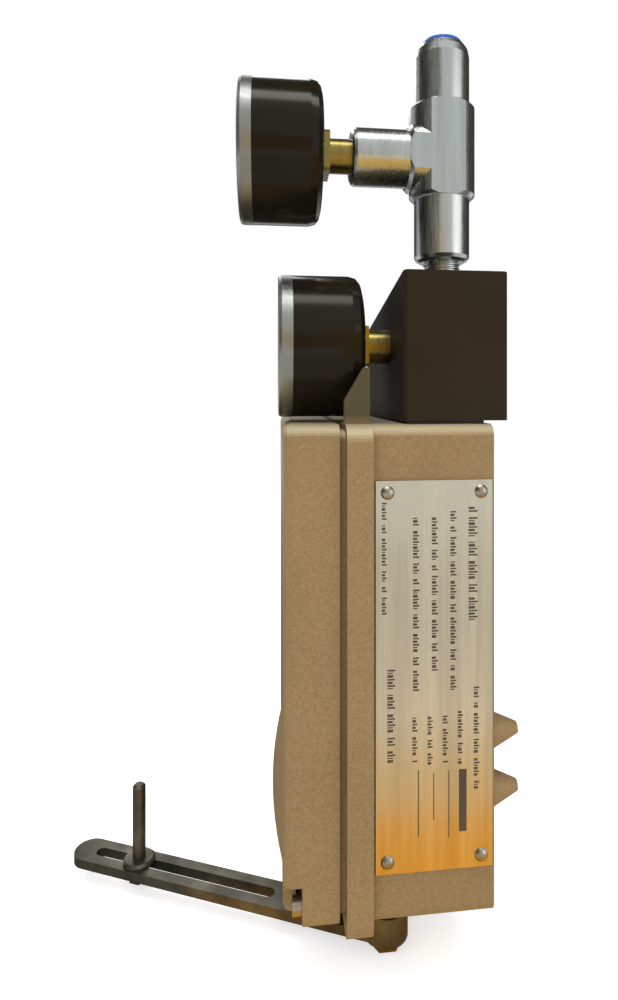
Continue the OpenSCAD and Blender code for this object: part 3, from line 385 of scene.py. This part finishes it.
def make_nipple():
    """The nipple between block and tee, with its thread showing."""
    low, high = (Vector(corner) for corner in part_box("tee_nipple"))
    bm = revolve(thread_outline((high.x - low.x) / 2, low.z, high.z))
    bm.transform(Matrix.Translation(((low.x + high.x) / 2, (low.y + high.y) / 2, 0)))
    nipple = finish_mesh("nipple_thread", bm, MATERIALS["stainless"])
    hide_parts("tee_nipple")


def make_spring():
    """The range spring between the lever's arm and the beam, as a plain copy of the CAD piece."""
    mesh = NODES["range_spring"].data.copy()
    mesh.shade_smooth()
    spring = add_object("spring_coil", mesh)
    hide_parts("range_spring")
    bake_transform(spring)


# Dial scale: angles, then sizes of its marks as (length, width)
DIAL_SPAN = math.radians(270)
DIAL_START = math.radians(135)
MAJOR_TICKS = 8
MINOR_PER_MAJOR = 5
NUMBER_STEP = 2
SCALE_SHARE = 0.86
MAJOR_TICK = (3.4 * MM, 0.55 * MM)
MINOR_TICK = (1.7 * MM, 0.25 * MM)
ARC_PIECES = 90
ARC_W = 0.3 * MM
ARC_LAP = 1.05
NUMBER_SIZE = 4.2 * MM
NUMBER_INSET = 6.2 * MM
DIAL_LIFT = 0.06 * MM
# Turns local Z to -X, out of the dial, and local X to +Z
DIAL_TURN = Matrix(((0, 0, -1), (0, 1, 0), (1, 0, 0))).to_4x4()


def tick_angle(share):
    return DIAL_START - DIAL_SPAN * share


def make_scale(gauge, matrix, radius):
    """Ticks and an arc line on one dial."""
    bm = bmesh.new()

    def mark(share, reach, size):
        place = Matrix.Rotation(tick_angle(share), 4, "Z")
        place = place @ Matrix.Translation((reach, 0, DIAL_LIFT / 2))
        add_box(bm, (*size, DIAL_LIFT), matrix @ place)

    ticks = MAJOR_TICKS * MINOR_PER_MAJOR
    for i in range(ticks + 1):
        size = MINOR_TICK if i % MINOR_PER_MAJOR else MAJOR_TICK
        mark(i / ticks, radius - size[0] / 2, size)
    for i in range(ARC_PIECES):
        mark((i + 0.5) / ARC_PIECES, radius, (ARC_W, radius * DIAL_SPAN / ARC_PIECES * ARC_LAP))
    finish_mesh(gauge + "_scale", bm, DIAL_INK)


def make_number(gauge, i, matrix, reach):
    """One number of a dial, inside its major tick."""
    curve = bpy.data.curves.new(f"{gauge}_number_{i}", "FONT")
    curve.body = str(i * NUMBER_STEP)
    curve.size = NUMBER_SIZE
    curve.align_x = "CENTER"
    curve.align_y = "CENTER"
    curve.extrude = DIAL_LIFT / 2
    curve.materials.append(DIAL_INK)
    number = add_object(f"{gauge}_number_{i}", curve)
    angle = tick_angle(i / MAJOR_TICKS)
    place = Matrix.Translation((reach * math.cos(angle), reach * math.sin(angle), DIAL_LIFT / 2))
    number.matrix_world = matrix @ place @ Matrix.Rotation(-math.pi / 2, 4, "Z")
    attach(number, "frame")


def make_dial(gauge):
    """Scale and numbers on the front face of one dial."""
    low, high = (Vector(corner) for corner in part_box(gauge + "_dial"))
    middle = (low + high) / 2
    matrix = Matrix.Translation((low.x, middle.y, middle.z)) @ DIAL_TURN
    radius = (high.z - low.z) / 2 * SCALE_SHARE
    make_scale(gauge, matrix, radius)
    for i in range(MAJOR_TICKS + 1):
        make_number(gauge, i, matrix, radius - NUMBER_INSET)


# Rows of strokes on the nameplate: across from its front edge, top and bottom as shares of
# its size, then the row's height in mm
PLATE_ROWS = [
    (0.07, 0.945, 0.665, 1.5), (0.34, 0.905, 0.465, 1.9), (0.50, 0.905, 0.510, 1.9),
    (0.66, 0.92, 0.46, 1.9), (0.83, 0.93, 0.64, 2.8), (0.13, 0.52, 0.29, 2.4),
    (0.33, 0.395, 0.28, 1.6), (0.46, 0.395, 0.27, 1.6), (0.59, 0.395, 0.275, 1.6),
    (0.72, 0.405, 0.26, 1.6), (0.86, 0.465, 0.205, 1.7)]
# Rules, given in the same way
PLATE_RULES = [
    (0.36, 0.26, 0.09, 0.3), (0.49, 0.25, 0.13, 0.3), (0.62, 0.255, 0.08, 0.3),
    (0.74, 0.255, 0.095, 2.4)]
WORD_STROKES = (6, 3, 9, 4, 2, 7, 5)
# Strokes in turn: thickness in mm and share of the row's height
STROKES = ((0.5, 1.0), (0.34, 0.7), (0.85, 0.72), (0.45, 0.95), (0.7, 0.68))
STROKE_GAP = 0.36 * MM
WORD_GAP = 1.3 * MM
PLATE_LIFT = 0.04 * MM


def make_plate_marks():
    """Rows of plain strokes where a plate carries its data, with no letters in them."""
    low, high = (Vector(corner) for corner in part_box("nameplate"))
    wide = high.x - low.x
    tall = high.z - low.z
    bm = bmesh.new()

    def bar(left, top, bottom, width):
        centre = (left + width / 2, low.y - PLATE_LIFT / 2, (top + bottom) / 2)
        add_box(bm, (width, PLATE_LIFT, top - bottom), Matrix.Translation(centre))

    for row, (across, top, bottom, height) in enumerate(PLATE_ROWS):
        z = low.z + top * tall
        end = low.z + bottom * tall
        left = low.x + across * wide - height * MM / 2
        word = row
        while z > end:
            for i in range(WORD_STROKES[word % len(WORD_STROKES)]):
                thick, share = STROKES[(i + word) % len(STROKES)]
                if z > end:
                    bar(left, z, z - thick * MM, height * share * MM)
                z -= thick * MM + STROKE_GAP
            z -= WORD_GAP
            word += 1
    for across, top, bottom, width in PLATE_RULES:
        left = low.x + across * wide - width * MM / 2
        bar(left, low.z + top * tall, low.z + bottom * tall, width * MM)
    finish_mesh("plate_marks", bm, PLATE_INK)


make_nipple()
make_spring()
for gauge_name in ("supply", "output"):
    make_dial(gauge_name)
make_plate_marks()


# Softened edges on the CAD pieces that show

SOFT_SEGMENTS = 2
SOFT_ANGLE = math.radians(30)
CAD_SMOOTH_ANGLE = math.radians(32)
SOFT_EDGES = {
    "gauge_block": 0.8 * MM, "lever": 0.7 * MM, "nameplate": 0.15 * MM,
    "pin_nut": 0.3 * MM, "lever_nut": 0.3 * MM, "tee_fitting": 0.35 * MM}

for node_name, edge_width in SOFT_EDGES.items():
    bevel = NODES[node_name].modifiers.new("edge", "BEVEL")
    bevel.width = edge_width
    bevel.segments = SOFT_SEGMENTS
    bevel.limit_method = "ANGLE"
    bevel.angle_limit = SOFT_ANGLE

for node in NODES.values():
    node.data.shade_smooth()
    node.data.set_sharp_from_angle(angle=CAD_SMOOTH_ANGLE)


# Stage, light and camera

CAD_LOW_Z = cad_box[0][2]
MIDDLE = (-0.03, 0.0, 0.05)
FLOOR_HALF = 3.0
FLOOR_DROP = 2 * MM
FLOOR_GREY = 0.92
FLOOR_SEEN = 0.55
WORLD_LIGHT = 0.5


def white_for_eye(tree, socket, light, seen):
    """A strength for light on the object, and another for the eye, gloss and glass."""
    path = tree.nodes.new("ShaderNodeLightPath")
    is_seen = path.outputs["Is Camera Ray"]
    for name in ("Is Glossy Ray", "Is Transmission Ray"):
        most = tree.nodes.new("ShaderNodeMath")
        most.operation = "MAXIMUM"
        tree.links.new(is_seen, most.inputs[0])
        tree.links.new(path.outputs[name], most.inputs[1])
        is_seen = most.outputs["Value"]
    level = tree.nodes.new("ShaderNodeMapRange")
    level.inputs["To Min"].default_value = light
    level.inputs["To Max"].default_value = seen
    tree.links.new(is_seen, level.inputs["Value"])
    tree.links.new(level.outputs["Result"], socket)


def make_world():
    world = bpy.data.worlds.new("studio")
    world.use_nodes = True
    bpy.context.scene.world = world
    background = world.node_tree.nodes["Background"]
    background.inputs["Color"].default_value = WHITE
    white_for_eye(world.node_tree, background.inputs["Strength"], WORLD_LIGHT, 1.0)


def rectangle(name, half_w, half_h):
    """An object with one flat face about its own origin."""
    mesh = bpy.data.meshes.new(name)
    corners = [(-half_w, -half_h, 0), (half_w, -half_h, 0),
               (half_w, half_h, 0), (-half_w, half_h, 0)]
    mesh.from_pydata(corners, [], [(0, 1, 2, 3)])
    return add_object(name, mesh)


def make_floor():
    floor = rectangle("floor", FLOOR_HALF, FLOOR_HALF)
    floor.location.z = CAD_LOW_Z - FLOOR_DROP
    s = Shader("floor_white").set(Roughness=0.9, Emission_Color=WHITE)
    s.set(Base_Color=(FLOOR_GREY, FLOOR_GREY, FLOOR_GREY, 1))
    white_for_eye(s.mat.node_tree, s.bsdf.inputs["Emission Strength"], 0.0, FLOOR_SEEN)
    floor.data.materials.append(s.mat)


def aim(obj, at, target, front):
    """Puts an object at a place with one of its axes towards a target."""
    obj.location = at
    obj.rotation_euler = (Vector(target) - Vector(at)).to_track_quat(front, "Y").to_euler()


def area_light(name, at, size, energy, colour):
    light = bpy.data.lights.new(name, "AREA")
    light.shape = "RECTANGLE"
    light.size, light.size_y = size
    light.energy = energy
    light.color = colour
    aim(add_object(name, light), at, MIDDLE, "-Z")


def studio_card(name, at, target, size, colour, steps=None, glow=0.0):
    """A card that only reflections see, of one colour or in steps along its own Y."""
    half_w, half_h = size[0] / 2, size[1] / 2
    card = rectangle(name, half_w, half_h)
    aim(card, at, target, "Z")
    s = Shader(name).set(Base_Color=colour, Roughness=1.0)
    s.set(Emission_Color=colour, Emission_Strength=glow)
    if steps:
        s.colour(s.ramp(s.rise(-half_h, half_h, "Y"), steps))
    card.data.materials.append(s.mat)
    card.visible_camera = False
    card.visible_diffuse = False
    card.visible_shadow = False


def make_camera():
    data = bpy.data.cameras.new("photo_camera")
    data.sensor_fit = "AUTO"
    data.sensor_width = SENSOR_MM
    data.lens = SENSOR_MM * FOCAL_PX / IMAGE_H
    data.shift_x = (IMAGE_W / 2 - PRINCIPAL_X) / IMAGE_H
    data.shift_y = (PRINCIPAL_Y - IMAGE_H / 2) / IMAGE_H
    data.clip_start = CLIP_START
    camera = add_object("photo_camera", data)
    camera.location = CAMERA_AT
    camera.rotation_euler = (math.pi / 2, 0, -CAMERA_YAW)
    bpy.context.scene.camera = camera


make_world()
make_floor()
area_light("key", (-0.7, -0.9, 0.9), (0.7, 0.7), 5.4, (1.0, 0.97, 0.92))
area_light("fill", (0.9, -0.7, 0.3), (0.8, 0.8), 3.2, (1.0, 0.96, 0.9))
area_light("rim", (-0.3, 0.9, 0.9), (0.6, 0.6), 4.0, (1.0, 1.0, 1.0))
area_light("top", (-0.05, -0.28, 1.15), (1.0, 0.3), 7.0, (1.0, 0.99, 0.96))

# Dark cards stand for an unlit room, and warm ones for what the plate and the tee reflect
DARK = (0.05, 0.04, 0.025, 1)
WARM = (1.0, 0.56, 0.1, 1)
PALE = (0.8, 0.76, 0.68, 1)
LOW_Z = CAD_LOW_Z - MM
GOLD_Z = LOW_Z + 0.5 * MM
studio_card("card_left", (-0.9, -0.35, 0.5), MIDDLE, (2.1, 1.5), DARK)
studio_card("card_right", (0.9, 0.35, 0.5), MIDDLE, (1.3, 1.5), DARK)
studio_card("card_over", (0.0, 0.3, 1.4), (0.0, 0.3, 0.0), (2.4, 1.6), DARK)
studio_card("card_back", (0.0, 1.2, 0.8), MIDDLE, (2.4, 1.8), DARK)
studio_card("card_low", (0.0, 0.05, LOW_Z), (0.0, 0.05, 1.0), (0.9, 1.6), DARK,
            steps=[(0.5, DARK), (0.6, PALE)])
studio_card("card_gold", (0.01, -0.08, GOLD_Z), (0.01, -0.08, 1.0), (0.24, 0.12), WARM)
studio_card("card_front", (-0.15, -0.45, 0.14), (-0.15, 0.0, 0.14), (0.3, 0.16), WARM)
studio_card("card_near", (-0.012, -0.1, 0.112), (-0.012, -0.02, 0.17), (0.06, 0.07), WARM, glow=0.6)
make_camera()
bpy.context.scene.view_settings.view_transform = "Standard"
